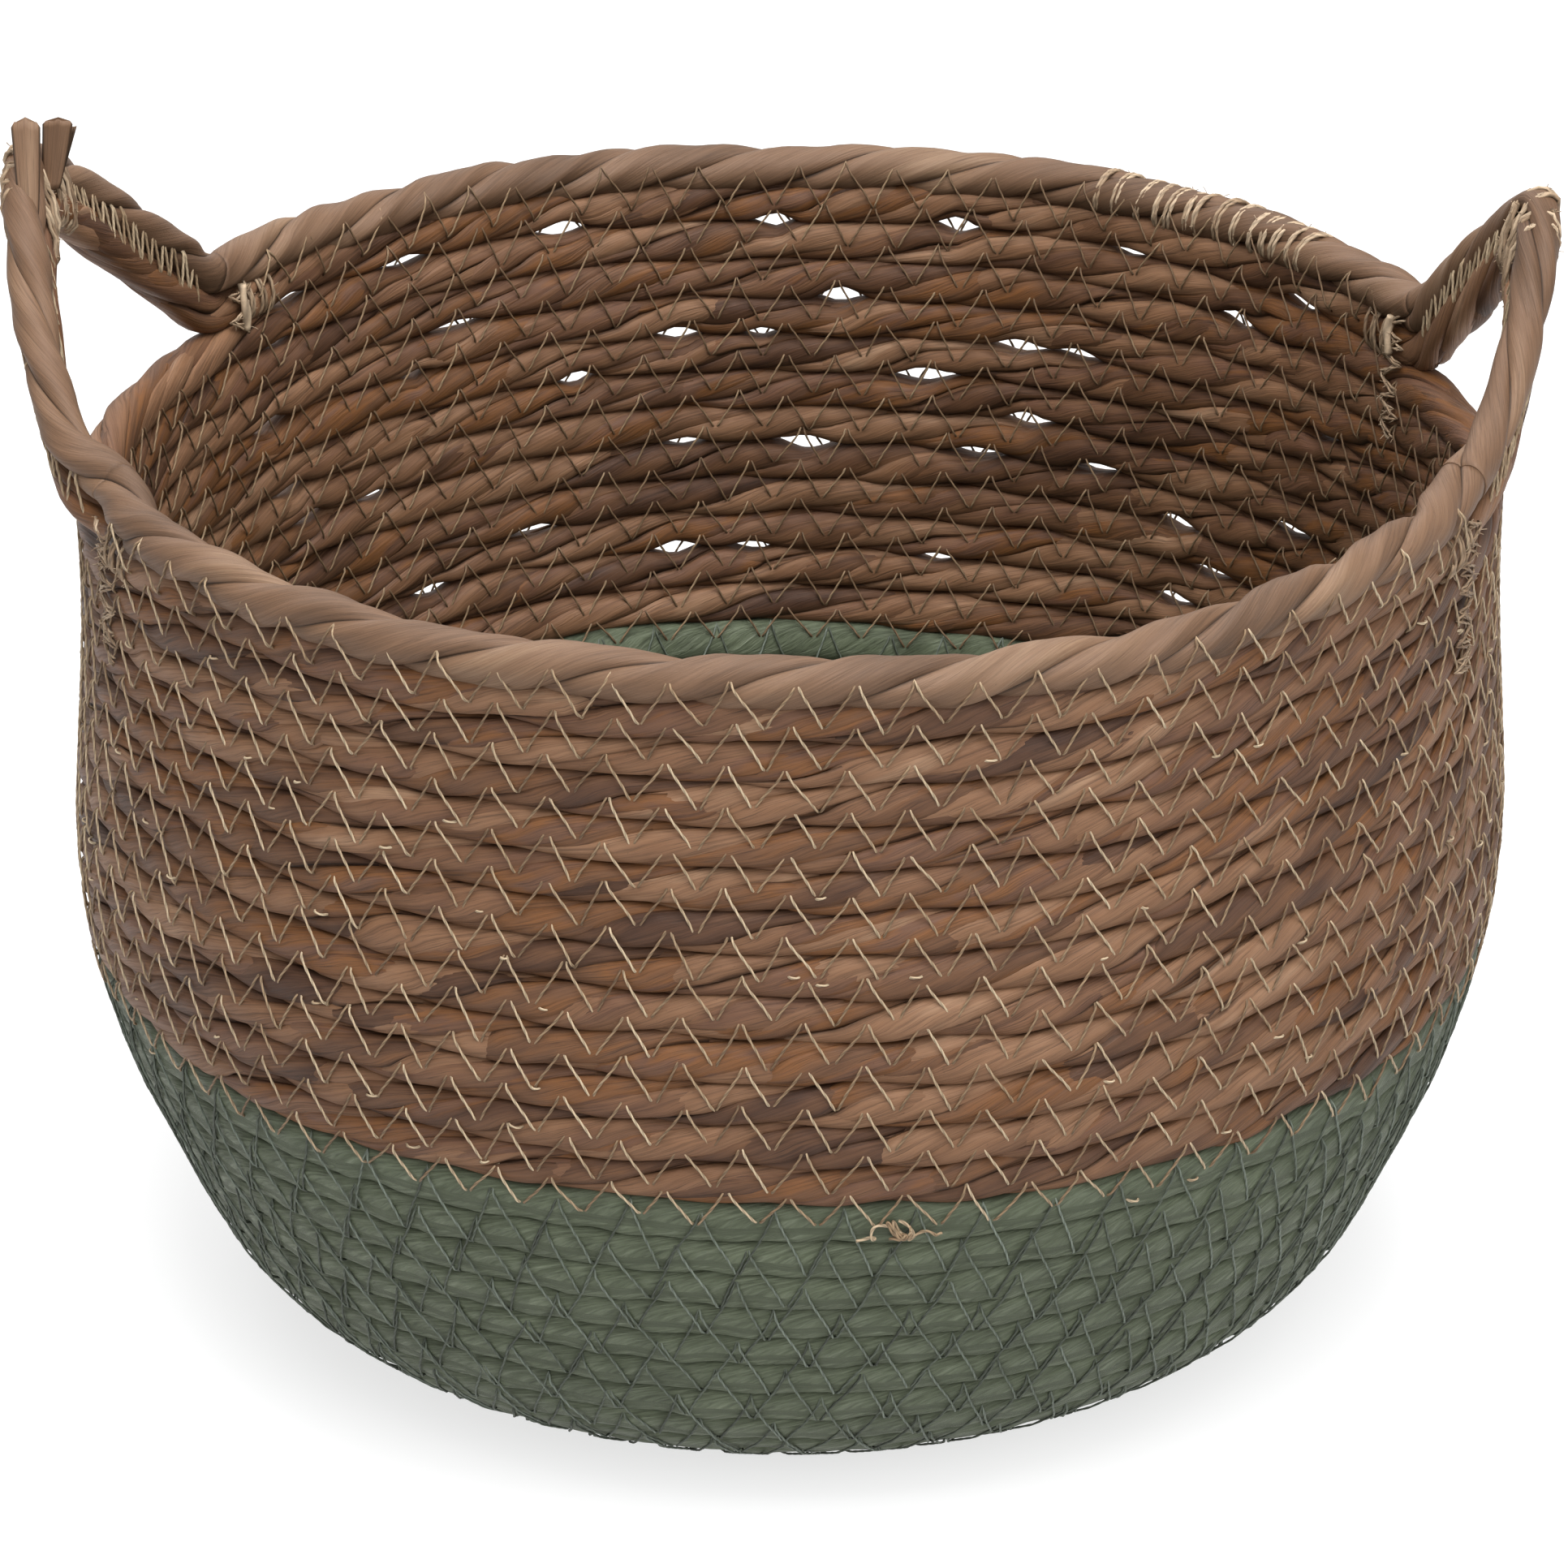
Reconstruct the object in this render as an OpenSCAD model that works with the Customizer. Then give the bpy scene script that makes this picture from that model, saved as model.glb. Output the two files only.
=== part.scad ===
// Round storage basket, coiled from rope and sewn turn to turn.
// The base and the heel of the wall are paper rope, the wall above is seagrass rope, and a thicker
// twisted cord finishes the rim. At each side the rim cord and the first turn lift off the wall
// together and make a handle, which flexes about a line through its two roots.
// The origin is the middle of the base on the floor, +X is towards the right handle and -Y is the front.

/* [Rope] */
// Height of one turn of rope, along the wall
rope_pitch = 9; // [8.8:0.1:9.2]
// Thickness of the rope through the wall
rope_thickness = 8; // [7:0.5:9]
// Width of the flat where two turns press together
rope_flat = 5; // [4:0.5:6]
// How much the base ropes are pressed flat on the floor
base_press = 0.3; // [0.2:0.1:0.5]

/* [Wall] */
// Radius of the wall's middle at the rim
rim_radius = 143.5; // [140:0.5:150]
// Turns of seagrass rope below the rim cord
seagrass_turns = 12; // [10:1:14]
// Inward lean of the wall at the rim, going down
rim_lean = 4.5; // [3:0.5:6]
// Outward lean of the wall above the belly
belly_flare = 3.7; // [2:0.1:5]
// Inward lean of the heel, below the belly
heel_lean = 24; // [20:1:28]
// Turn at which the outward lean is reached
flare_start = 5.4; // [4:0.1:6]
// Turn at which the outward lean ends
flare_end = 8.4; // [8:0.1:9]
// Turn at which the heel's lean is reached
heel_start = 15.7; // [15:0.1:16.5]
// Turn at which the wall starts to bend under
heel_end = 18.2; // [17.5:0.1:19]
// Turn at which the rope lies flat on the floor
floor_turn = 24.2; // [23.5:0.1:25]

/* [Rim cord] */
// Radius of the rim cord
rim_cord_r = 4.5; // [4:0.1:5]
// Height of the rim cord's middle above the first turn
rim_cord_lift = 3; // [2.5:0.1:3.5]
// Where the whipping on the back of the rim starts, from the right
whipping_from = 36; // [34:1:45]
// Where the whipping on the back of the rim ends
whipping_to = 61; // [50:1:75]

/* [Handles] */
// Angle from the side to the left handle's front root
left_front = 20.5; // [18:0.5:24]
// Angle from the side to the left handle's back root
left_back = 29.5; // [25:0.5:32]
// Rise of the left handle
left_rise = 42; // [35:1:50]
// Angle from the side to the right handle's front root
right_front = 19.5; // [18:0.5:24]
// Angle from the side to the right handle's back root
right_back = 19.5; // [18:0.5:24]
// Rise of the right handle
right_rise = 37; // [32:1:45]
// How far each handle stands out from the wall at its top
handle_lean = 12.5; // [6:0.5:14]
// Radius of the two cords of a handle
handle_cord_r = 3.9; // [3.5:0.1:3.9]
// Space between a handle's roots and the rim that they grow from
flex_gap = 0.4; // [0.3:0.1:0.8]

/* [Bindings] */
// Thickness of the jute twine that binds the cords
twine_thickness = 1.3; // [1:0.1:2]
// Length of each root's lashing along the rim, as an angle
lashing_span = 5; // [3:0.5:7]
// Height of the cut rope ends that stand on the left handle
cut_end_height = 11; // [8:1:14]

/* [Hidden] */
$fn = 96;
half_t = rope_thickness / 2;
clear = 0.12;          // between a binding and the cord it holds
end_gap = 0.8;         // between a cut end and the binding under it
root_lift = 1.2;       // of a handle's cords above the turn under them
cord_sides = 10;
band_sides = 16;
cord_steps = 30;
band_steps = 4;
most_turns = 40;
cut_r = 300;           // half size of the blocks that cut a ring
band_half = 0.13;      // half length of a handle's binding, as a share of half the handle

// The lens of a rope's section: two arcs that meet the flats
bulge = half_t - rope_flat / 2;
lens_r = (pow(rope_pitch / 2, 2) + pow(bulge, 2)) / (2 * bulge);

// The wall's inward lean at a place counted in turns from the rim
function lean_at(n) = lookup(n, [
    [0, rim_lean],
    [flare_start, -belly_flare],
    [flare_end, -belly_flare],
    [heel_start, heel_lean],
    [heel_end, heel_lean],
    [floor_turn, 90]
]);
function down_at(n) = [-sin(lean_at(n)), -cos(lean_at(n))];
function out_at(n) = [cos(lean_at(n)), -sin(lean_at(n))];

// The grooves between turns, on the wall's middle line, with the rim's at height 0
raw_grooves = [
    for (n = 0, p = [rim_radius, 0]; n <= most_turns; p = p + rope_pitch * down_at(n + 0.5), n = n + 1) p
];
wall_turns = len([for (p = raw_grooves) if (p[0] > rope_pitch) p]) - 1;
paper_turns = wall_turns - seagrass_turns;
rim_z = half_t - base_press - raw_grooves[wall_turns][1];
grooves = [for (p = raw_grooves) p + [0, rim_z]];
centre_r = grooves[wall_turns][0];

// A handle is [side, front root's angle, back root's angle, rise]
left = [-1, left_front, left_back, left_rise];
right = [1, right_front, right_back, right_rise];

function pad(n) = n < 10 ? str("0", n) : str(n);
function unit(v) = v / norm(v);
function root(h, back) =
    let (a = back ? h[2] : -h[1])
    [h[0] * rim_radius * cos(a), rim_radius * sin(a), rim_z];
function hinge_dir(h) = unit(root(h, true) - root(h, false));
function outward(h) = h[0] * cross(hinge_dir(h), [0, 0, 1]);
function bell(s) = pow(cos(90 * s), 2);

// The seam between a handle's two cords, for s from -1 at the front root to 1 at the back root
function seam(h, s) =
    let (
        a = (h[2] - h[1]) / 2 + s * (h[1] + h[2]) / 2,
        r = rim_radius + handle_lean * bell(s)
    )
    [h[0] * r * cos(a), r * sin(a), rim_z + root_lift + h[3] * bell(s)];
function along(h, s) = unit(seam(h, s + 0.01) - seam(h, s - 0.01));
function above(h, s) = unit(h[0] * cross(outward(h), along(h, s)));
function across(h, s) = cross(above(h, s), along(h, s));

// A point slid along the handle until it lies on the plane of its root
function to_root(h, s, p) =
    let (
        u = hinge_dir(h),
        face = root(h, s > 0) - u * sign(s) * flex_gap / 2,
        t = along(h, s)
    )
    p + t * ((face - p) * u) / (t * u);
function ring_at(h, s, raise, r, tall, sides) = [
    for (k = [0 : sides - 1])
        let (
            a = 360 * (k + 0.5) / sides,
            lift = raise + r * sin(a) + (sin(a) > 0 ? tall : -tall),
            p = seam(h, s) + above(h, s) * lift + across(h, s) * r * cos(a)
        )
        abs(s) == 1 ? to_root(h, s, p) : p
];

function steps(from, to, count) = [for (i = [0 : count]) from + (to - from) * i / count];
function side_faces(rings, sides, start, inward) = [
    for (i = [0 : rings - 2], k = [0 : sides - 1], half = [0, 1])
        let (
            a = start + i * sides + k,
            b = start + i * sides + (k + 1) % sides,
            c = b + sides,
            d = a + sides,
            f = half == 0 ? [a, b, c] : [a, c, d]
        )
        inward ? [f[2], f[1], f[0]] : f
];
function flatten(lists) = [for (l = lists) each l];
function flipped(faces) = [for (f = faces) [for (i = [len(f) - 1 : -1 : 0]) f[i]]];

// ---- shapes that repeat ----

// Cross-section of one turn, between two grooves
module turn_section(n) {
    mid = (grooves[n - 1] + grooves[n]) / 2;
    intersection() {
        polygon([
            grooves[n - 1] - out_at(n - 1) * rope_thickness,
            grooves[n - 1] + out_at(n - 1) * rope_thickness,
            grooves[n] + out_at(n) * rope_thickness,
            grooves[n] - out_at(n) * rope_thickness
        ]);
        side_arc(mid, n, 1);
        side_arc(mid, n, -1);
        square([2 * rim_radius, rim_z]); // nothing below the floor
    }
}

// One of the two arcs that bound a turn
module side_arc(mid, n, side) {
    translate(mid - side * out_at(n - 0.5) * (lens_r - half_t)) circle(r = lens_r);
}

module turn(n) {
    rotate_extrude() turn_section(n);
}

// Cross-section of the rim cord, flat where it sits on the first turn
module rim_section(grow = 0) {
    up = -down_at(0);
    intersection() {
        translate(grooves[0] + up * rim_cord_lift) circle(r = rim_cord_r + grow);
        polygon([
            grooves[0] - out_at(0) * rope_thickness,
            grooves[0] + out_at(0) * rope_thickness,
            grooves[0] + out_at(0) * rope_thickness + up * 2 * rope_thickness,
            grooves[0] - out_at(0) * rope_thickness + up * 2 * rope_thickness
        ]);
    }
}

// The slab that a handle takes out of the rim
module handle_slab(h) {
    u = hinge_dir(h);
    width = norm(root(h, true) - root(h, false));
    translate(root(h, false))
        rotate([0, 0, atan2(u[1], u[0])])
            translate([-flex_gap / 2, -rim_radius / 2, -rim_radius / 2])
                cube([width + flex_gap, rim_radius, rim_radius]);
}

// The front or back stretch of a ring, between the handles
module between_handles(back) {
    intersection() {
        difference() {
            children();
            handle_slab(left);
            handle_slab(right);
        }
        translate([-cut_r, back ? 0 : -cut_r, -cut_r]) cube([2 * cut_r, cut_r, 2 * cut_r]);
    }
}

// One cord of a handle, swept along the seam at a height from it
module handle_cord(h, raise) {
    rings = cord_steps + 1;
    points = flatten([for (s = steps(-1, 1, cord_steps)) ring_at(h, s, raise, handle_cord_r, 0, cord_sides)]);
    first = [for (k = [0 : cord_sides - 1]) cord_sides - 1 - k];
    last = [for (k = [0 : cord_sides - 1]) (rings - 1) * cord_sides + k];
    faces = concat(side_faces(rings, cord_sides, 0, false), [first, last]);
    polyhedron(points, h[0] > 0 ? flipped(faces) : faces);
}

// A band of twine round both cords of a handle
module handle_band(h, middle) {
    rings = band_steps + 1;
    inner_r = handle_cord_r + clear;
    outer_r = inner_r + twine_thickness;
    places = steps(middle - band_half, middle + band_half, band_steps);
    outer = flatten([for (s = places) ring_at(h, s, 0, outer_r, handle_cord_r + clear, band_sides)]);
    inner = flatten([for (s = places) ring_at(h, s, 0, inner_r, handle_cord_r + clear, band_sides)]);
    start = len(outer);
    end = (rings - 1) * band_sides;
    ends = [
        for (k = [0 : band_sides - 1], half = [0, 1])
            let (n = (k + 1) % band_sides)
            half == 0 ? [k, start + k, start + n] : [k, start + n, n],
        for (k = [0 : band_sides - 1], half = [0, 1])
            let (n = (k + 1) % band_sides)
            half == 0 ? [end + k, end + n, start + end + n] : [end + k, start + end + n, start + end + k]
    ];
    faces = concat(side_faces(rings, band_sides, 0, false), side_faces(rings, band_sides, start, true), ends);
    polyhedron(concat(outer, inner), h[0] > 0 ? flipped(faces) : faces);
}

// A saddle of twine over the rim, between two angles; deep saddles reach over the first turn too
module saddle(from, to, deep) {
    up = -down_at(0);
    reach = deep ? rope_pitch * 0.6 : 0;
    inner = half_t + clear;
    rotate([0, 0, from]) rotate_extrude(angle = to - from) difference() {
        union() {
            translate(grooves[0] + up * rim_cord_lift) circle(r = rim_cord_r + clear + twine_thickness);
            if (deep)
                translate(grooves[0] - [inner + twine_thickness, reach])
                    square([2 * (inner + twine_thickness), reach + rim_cord_lift]);
        }
        translate(grooves[0] + up * rim_cord_lift) circle(r = rim_cord_r + clear);
        if (deep)
            translate(grooves[0] - [inner + 0.3, reach + 1]) square([2 * inner + 0.6, reach + rim_cord_lift]);
        else
            translate(grooves[0] - [rim_radius / 2, rim_radius - clear * 4]) square([rim_radius, rim_radius]);
    }
}

// ---- the pieces ----

module paper_centre() {
    edge = rope_thickness / 4;
    top = rope_thickness - base_press;
    color("#5f7a5a")
        rotate_extrude()
            polygon([
                [0, 0], [centre_r - edge, 0], [centre_r, edge],
                [centre_r, top - edge], [centre_r - edge, top], [0, top]
            ]);
}

module paper_turn(i) {
    color("#6b8562") turn(wall_turns + 1 - i);
}

module seagrass_turn(i) {
    color("#96704c") turn(i);
}

module first_turn(back) {
    color("#96704c") between_handles(back) turn(1);
}

module rim_cord(back) {
    color("#b08d66") between_handles(back) rotate_extrude() rim_section();
}

module rim_whipping() {
    color("#bfa27a") saddle(whipping_from, whipping_to, false);
}

module upper_cord(h) {
    color("#b08d66") handle_cord(h, handle_cord_r + clear / 2);
}

module lower_cord(h) {
    color("#96704c") handle_cord(h, -handle_cord_r - clear / 2);
}

module handle_binding(h, middle) {
    color("#bfa27a") handle_band(h, middle);
}

// A flat cut end of the rope, standing on the left handle's binding
module cut_end(s) {
    foot = 2 * (handle_cord_r + clear) + twine_thickness + end_gap;
    place = seam(left, s) + [0, 0, foot];
    color("#a98560")
        translate(place)
            linear_extrude(height = cut_end_height)
                intersection() {
                    square([1.6 * handle_cord_r, 2 * handle_cord_r], center = true);
                    circle(r = 1.1 * handle_cord_r);
                }
}

module root_lashing(h, back) {
    a = back ? h[2] : -h[1];
    room = asin((handle_cord_r + 2) / rim_radius) * 1.5;
    near = a + (back ? room : -room);
    far = near + (back ? lashing_span : -lashing_span);
    on_right = [min(near, far), max(near, far)];
    from = h[0] > 0 ? on_right[0] : 180 - on_right[1];
    color("#bfa27a") saddle(from, from + lashing_span, true);
}

// ---- the list of pieces ----

paper_centre();
for (i = [1 : paper_turns])
    paper_turn(i);
for (i = [2 : seagrass_turns])
    seagrass_turn(i);
first_turn(false);  // seagrass_turn_01_front
first_turn(true);  // seagrass_turn_01_back
rim_cord(false);  // rim_cord_front
rim_cord(true);  // rim_cord_back
rim_whipping();
root_lashing(left, false);  // left_front_lashing
root_lashing(left, true);  // left_back_lashing
root_lashing(right, false);  // right_front_lashing
root_lashing(right, true);  // right_back_lashing
upper_cord(left);  // left_handle_upper_cord
lower_cord(left);  // left_handle_lower_cord
handle_binding(left, 0);  // left_handle_binding
cut_end(-0.08);  // left_handle_front_end
cut_end(0.08);  // left_handle_back_end
upper_cord(right);  // right_handle_upper_cord
lower_cord(right);  // right_handle_lower_cord
handle_binding(right, 0.1);  // right_handle_binding
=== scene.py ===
"""Seagrass and paper-rope storage basket: the looks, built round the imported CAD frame.

Every turn of the coil is rebuilt as real rope: leaves twisted round a core, or crinkled paper, with zigzag
sewing over both faces. Lengths are in millimetres until a mesh is made.
"""

import math

import bpy
import numpy as np
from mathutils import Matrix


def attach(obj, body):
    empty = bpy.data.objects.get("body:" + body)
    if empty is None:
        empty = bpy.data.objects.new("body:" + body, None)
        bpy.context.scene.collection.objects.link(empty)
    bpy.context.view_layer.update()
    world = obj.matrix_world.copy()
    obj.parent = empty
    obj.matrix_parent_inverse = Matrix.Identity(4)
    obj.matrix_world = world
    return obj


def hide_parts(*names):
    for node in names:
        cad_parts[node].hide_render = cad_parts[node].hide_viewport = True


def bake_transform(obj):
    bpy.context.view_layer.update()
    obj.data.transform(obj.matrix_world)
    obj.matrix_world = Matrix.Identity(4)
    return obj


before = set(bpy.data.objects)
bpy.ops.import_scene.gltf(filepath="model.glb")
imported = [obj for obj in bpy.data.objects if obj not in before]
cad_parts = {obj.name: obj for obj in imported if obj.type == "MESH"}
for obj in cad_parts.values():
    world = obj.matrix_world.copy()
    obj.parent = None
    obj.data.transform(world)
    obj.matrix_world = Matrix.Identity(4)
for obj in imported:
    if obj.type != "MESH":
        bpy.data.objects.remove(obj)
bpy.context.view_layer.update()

MM = 0.001
TURN = 2 * math.pi

# ---- the wall, as the CAD model lays it out ----

PITCH = 9.0  # height of one turn of rope along the wall
HALF_THICK = 4.0  # half the wall's thickness
BASE_PRESS = 0.3  # how much the base is pressed flat
RIM_RADIUS = 143.5
RIM_CORD_LIFT = 3.0  # of the rim cord's middle above the first turn
LEAN_TURNS = (0.0, 5.4, 8.4, 15.7, 18.2, 24.2)  # places in turns from the rim, and the inward lean there
LEAN_DEGREES = (4.5, -3.7, -3.7, 24.0, 24.0, 90.0)
PAPER_TURNS = sum(name.startswith("paper_turn_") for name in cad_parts)
SEAGRASS_TURNS = 1 + sum(
    name.startswith("seagrass_turn_") and name.count("_") == 2 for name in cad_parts
)
TURNS = SEAGRASS_TURNS + PAPER_TURNS

# The handles' roots, as angles round the basket from the right side towards the back
RIGHT_FRONT, RIGHT_BACK = -19.5, 19.5
LEFT_BACK, LEFT_FRONT = 150.5, 200.5
WHIPPING = (36.0, 61.0)

# Pinholes at the back, where turns of seagrass part and light comes through
HOLE_ARC = (32.0, 148.0)
LOOSE_EVERY = 3  # the first groove and every third after it are loose
LOOSE_HOLES, TIGHT_HOLES = 7, 2  # pinholes in a loose groove and in any other
HOLE_GAP = (1.3, 2.5)  # how far one edge of a pinhole moves
HOLE_REACH = (3.2, 6.5)  # half its length
PART_REACH = PITCH / 2 + 0.4  # of a turn's moving part above and below its middle

# The unevenness of the wall, as waves round the basket: size, count, drift per turn and phase
OUTWARD_WAVES = ((0.7, 2, 0.09, 0.7), (0.5, 5, -0.13, 2.0), (0.3, 11, 0.21, 0.0))
UPWARD_WAVES = ((0.45, 3, 0.0, 1.1), (0.35, 7, 0.1, 0.3), (0.30, 19, 1.9, 0.0), (0.22, 31, -2.6, 1.0))
CALM_TURN = 21  # turns from here to the middle lie true
CALM_FADE = 9  # turns above it over which the unevenness fades


def vectors(x, y, z):
    """Joins three arrays or numbers into points."""
    return np.stack(np.broadcast_arrays(x, y, z), axis=-1)


def round_section(sides):
    return (np.arange(sides) * TURN / sides)[None, :]


def lean_at(n):
    """The wall's inward lean, in radians, n turns below the rim."""
    return np.radians(np.interp(n, LEAN_TURNS, LEAN_DEGREES))


def groove_line():
    """Radius and height of the grooves, and of a place beyond each end."""
    radius, height = [RIM_RADIUS], [0.0]
    for n in range(TURNS + 1):
        lean = lean_at(n + 0.5)
        radius.append(radius[-1] - PITCH * math.sin(lean))
        height.append(height[-1] - PITCH * math.cos(lean))
    above = 2
    lean = lean_at(0)
    radius.insert(0, RIM_RADIUS + above * PITCH * math.sin(lean))
    height.insert(0, above * PITCH * math.cos(lean))
    floor = height[TURNS + 1]
    return (
        np.array([-above, *range(TURNS + 2)], float),
        np.array(radius),
        np.array(height) - floor + HALF_THICK - BASE_PRESS,
    )


GROOVES, GROOVE_RADIUS, GROOVE_HEIGHT = groove_line()
RIM_HEIGHT = float(np.interp(0, GROOVES, GROOVE_HEIGHT))


def radius_at(n):
    return np.interp(n, GROOVES, GROOVE_RADIUS)


def waves(parts, theta, n):
    return sum(size * np.sin(count * theta + drift * n + phase) for size, count, drift, phase in parts)


def sway(theta, n):
    """The wall's unevenness, as radial and upward moves."""
    fade = np.clip((CALM_TURN - n) / CALM_FADE, 0, 1)
    return fade * waves(OUTWARD_WAVES, theta, n), fade * waves(UPWARD_WAVES, theta, n)


def wall(theta, n, out):
    """The point at an angle, n turns below the rim and out from the wall's middle."""
    lean = lean_at(n)
    radial, rise = sway(theta, n)
    r = radius_at(n) + out * np.cos(lean) + radial
    z = np.interp(n, GROOVES, GROOVE_HEIGHT) - out * np.sin(lean) + rise
    return vectors(r * np.cos(theta), r * np.sin(theta), z)


UNLIKE = 90  # range of the offset that makes each fibre's streaks its own


def seeded(name):
    """A piece's own random generator, so that no piece depends on the others."""
    return np.random.default_rng([ord(letter) for letter in name])


def pinhole_shapes():
    """(angle, half length, opening) of every pinhole, by groove."""
    rng = seeded("pinholes")
    start, end = HOLE_ARC
    shapes = {}
    for groove in range(1, SEAGRASS_TURNS):
        count = LOOSE_HOLES if groove % LOOSE_EVERY == 1 else TIGHT_HOLES
        places = start + (end - start) * (np.arange(count) + rng.uniform(0.05, 0.95, count)) / count
        shapes[groove] = [
            (math.radians(place), rng.uniform(*HOLE_REACH), rng.uniform(*HOLE_GAP)) for place in places
        ]
    return shapes


HOLES = pinhole_shapes()


def parted(turn, theta, up):
    """Moves a turn's surface away from the pinholes above and below it."""
    for groove, side in ((turn - 1, 1), (turn, -1)):
        for angle, reach, gap in HOLES.get(groove, ()):
            away = (theta - angle + math.pi) % TURN - math.pi
            near = np.exp(-((away * radius_at(groove) / reach) ** 2))
            room = np.clip((PART_REACH + side * up) / (2 * PART_REACH), 0, 1)
            up = up - side * gap * near * room
    return up


class Turn:
    """One turn of rope in the wall, as a course: it turns a place along, out and up into a point."""

    def __init__(self, turn):
        self.turn = turn
        self.radius = float(radius_at(turn - 0.5))
        self.length = TURN * self.radius

    def place(self, s, out, up):
        theta = s / self.radius
        up = parted(self.turn, theta, up)
        return wall(theta, self.turn - 0.5 - up / PITCH, out)


# ---- the two cords that leave the wall and make the handles ----

# Each handle: the angles of its roots and peak, the peak's rise and outward lean, and the powers that shape
# the rise and the lean of its first and its last limb
RIGHT_HANDLE = dict(
    first=RIGHT_FRONT, peak=2.0, last=RIGHT_BACK, rise=38.0, lean=10.5, climb=(1.6, 1.05), swell=(1.05, 1.7),
)
LEFT_HANDLE = dict(
    first=LEFT_BACK, peak=176.5, last=LEFT_FRONT, rise=46.0, lean=13.0, climb=(1.05, 1.5), swell=(1.9, 0.5),
)
FOOT = 5.0  # of the upper cord's middle above the rim, at a root
CORD_GAP = 9.2  # from the upper cord's middle down to the lower's, at roots and peak
LIMB_GAP = 1.5  # how much more that is on the slant of a limb
LOWER_LEAN = 2.5  # how much less the lower cord leans at the peak
PEAK_ROUND = 0.12  # how round the peak is, as a share of a limb's length
LIMB_POINTS = 6


def handle_route(first, peak, last, rise, lean, climb, swell, lower):
    """Points along the middle of a handle's upper or lower cord."""
    degrees = np.concatenate([
        np.linspace(first, peak, LIMB_POINTS), np.linspace(peak, last, LIMB_POINTS)[1:]
    ])
    near = degrees < peak
    away = np.abs(degrees - peak) / np.where(near, peak - first, last - peak)
    level = 1 - (np.hypot(away, PEAK_ROUND) - PEAK_ROUND) / (math.hypot(1, PEAK_ROUND) - PEAK_ROUND)
    height = RIM_HEIGHT + FOOT + rise * level ** np.where(near, *climb)
    reach = lean * level ** np.where(near, *swell)
    if lower:
        height = height - CORD_GAP - LIMB_GAP * np.sin(math.pi * level)
        reach = reach * (1 - LOWER_LEAN / lean)
    radius = RIM_RADIUS + reach
    theta = np.radians(degrees)
    return np.stack([radius * np.cos(theta), radius * np.sin(theta), height], axis=1)


def smooth_curve(points, step):
    """Even points along the closed Catmull-Rom curve through the given ones, and its length."""
    p = np.asarray(points, float)
    before, after, beyond = np.roll(p, 1, 0), np.roll(p, -1, 0), np.roll(p, -2, 0)
    pieces = 24
    fine = np.linspace(0, 1, pieces, endpoint=False)[None, :, None]
    curve = 0.5 * (
        2 * p[:, None]
        + (after - before)[:, None] * fine
        + (2 * before - 5 * p + 4 * after - beyond)[:, None] * fine**2
        + (3 * p - before - 3 * after + beyond)[:, None] * fine**3
    )
    curve = curve.reshape(-1, 3)
    gaps = np.linalg.norm(np.roll(curve, -1, 0) - curve, axis=1)
    along = np.concatenate([[0], np.cumsum(gaps)])
    wanted = np.arange(int(along[-1] / step)) * along[-1] / int(along[-1] / step)
    closed = np.vstack([curve, curve[:1]])
    return np.stack([np.interp(wanted, along, closed[:, k]) for k in range(3)], axis=1), along[-1]


class Loop:
    """A rope that follows the rim and leaves it over both handles."""

    STEP = 1.0  # between the points that stand for the loop
    CLEAR = 7  # degrees between a root and the first point on the wall
    ARC_STEP = 2.5  # degrees between points on the wall

    def __init__(self, n, turn):
        def arc(start, end):
            angles = np.radians(np.arange(start + self.CLEAR, end - self.CLEAR + 0.1, self.ARC_STEP))
            return wall(angles, n, 0.0)

        route = np.vstack([
            handle_route(**RIGHT_HANDLE, lower=turn > 0),
            arc(RIGHT_BACK, LEFT_BACK),
            handle_route(**LEFT_HANDLE, lower=turn > 0),
            arc(LEFT_FRONT, 360 + RIGHT_FRONT),
        ])
        self.turn = turn
        self.middle, self.length = smooth_curve(route, self.STEP)
        ahead = np.roll(self.middle, -2, 0) - np.roll(self.middle, 2, 0)
        ahead /= np.linalg.norm(ahead, axis=1)[:, None]
        outward = self.middle * (1, 1, 0)
        outward -= ahead * np.sum(outward * ahead, axis=1)[:, None]
        self.outward = outward / np.linalg.norm(outward, axis=1)[:, None]
        self.upward = np.cross(self.outward, ahead)
        self.theta = np.unwrap(np.arctan2(self.middle[:, 1], self.middle[:, 0]))

    def at(self, degrees):
        """The place along the loop at an angle round the basket."""
        turns = self.theta - self.theta[0]
        wanted = (math.radians(degrees) - self.theta[0]) % TURN
        return float(np.interp(wanted, turns, np.arange(len(turns)) * self.length / len(turns)))

    def span(self, start, end):
        """The places along the loop where a stretch starts and ends."""
        first, last = self.at(start), self.at(end)
        return first, last if last > first else last + self.length

    def sample(self, table, s):
        count = len(table)
        position = (s / self.length * count) % count
        low = np.floor(position).astype(int) % count
        part = position - np.floor(position)
        high = (low + 1) % count
        if table.ndim > 1:
            part = part[..., None]
        return table[low] * (1 - part) + table[high] * part

    def place(self, s, out, up):
        s, out, up = np.broadcast_arrays(s, out, up)
        if self.turn:
            middle = self.sample(self.middle, s)
            up = parted(self.turn, np.arctan2(middle[..., 1], middle[..., 0]), up)
        return (
            self.sample(self.middle, s)
            + self.sample(self.outward, s) * out[..., None]
            + self.sample(self.upward, s) * up[..., None]
        )


RIM_LOOP = Loop(-RIM_CORD_LIFT / PITCH, 0)
FIRST_LOOP = Loop(0.5, 1)

# ---- meshes ----


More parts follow.
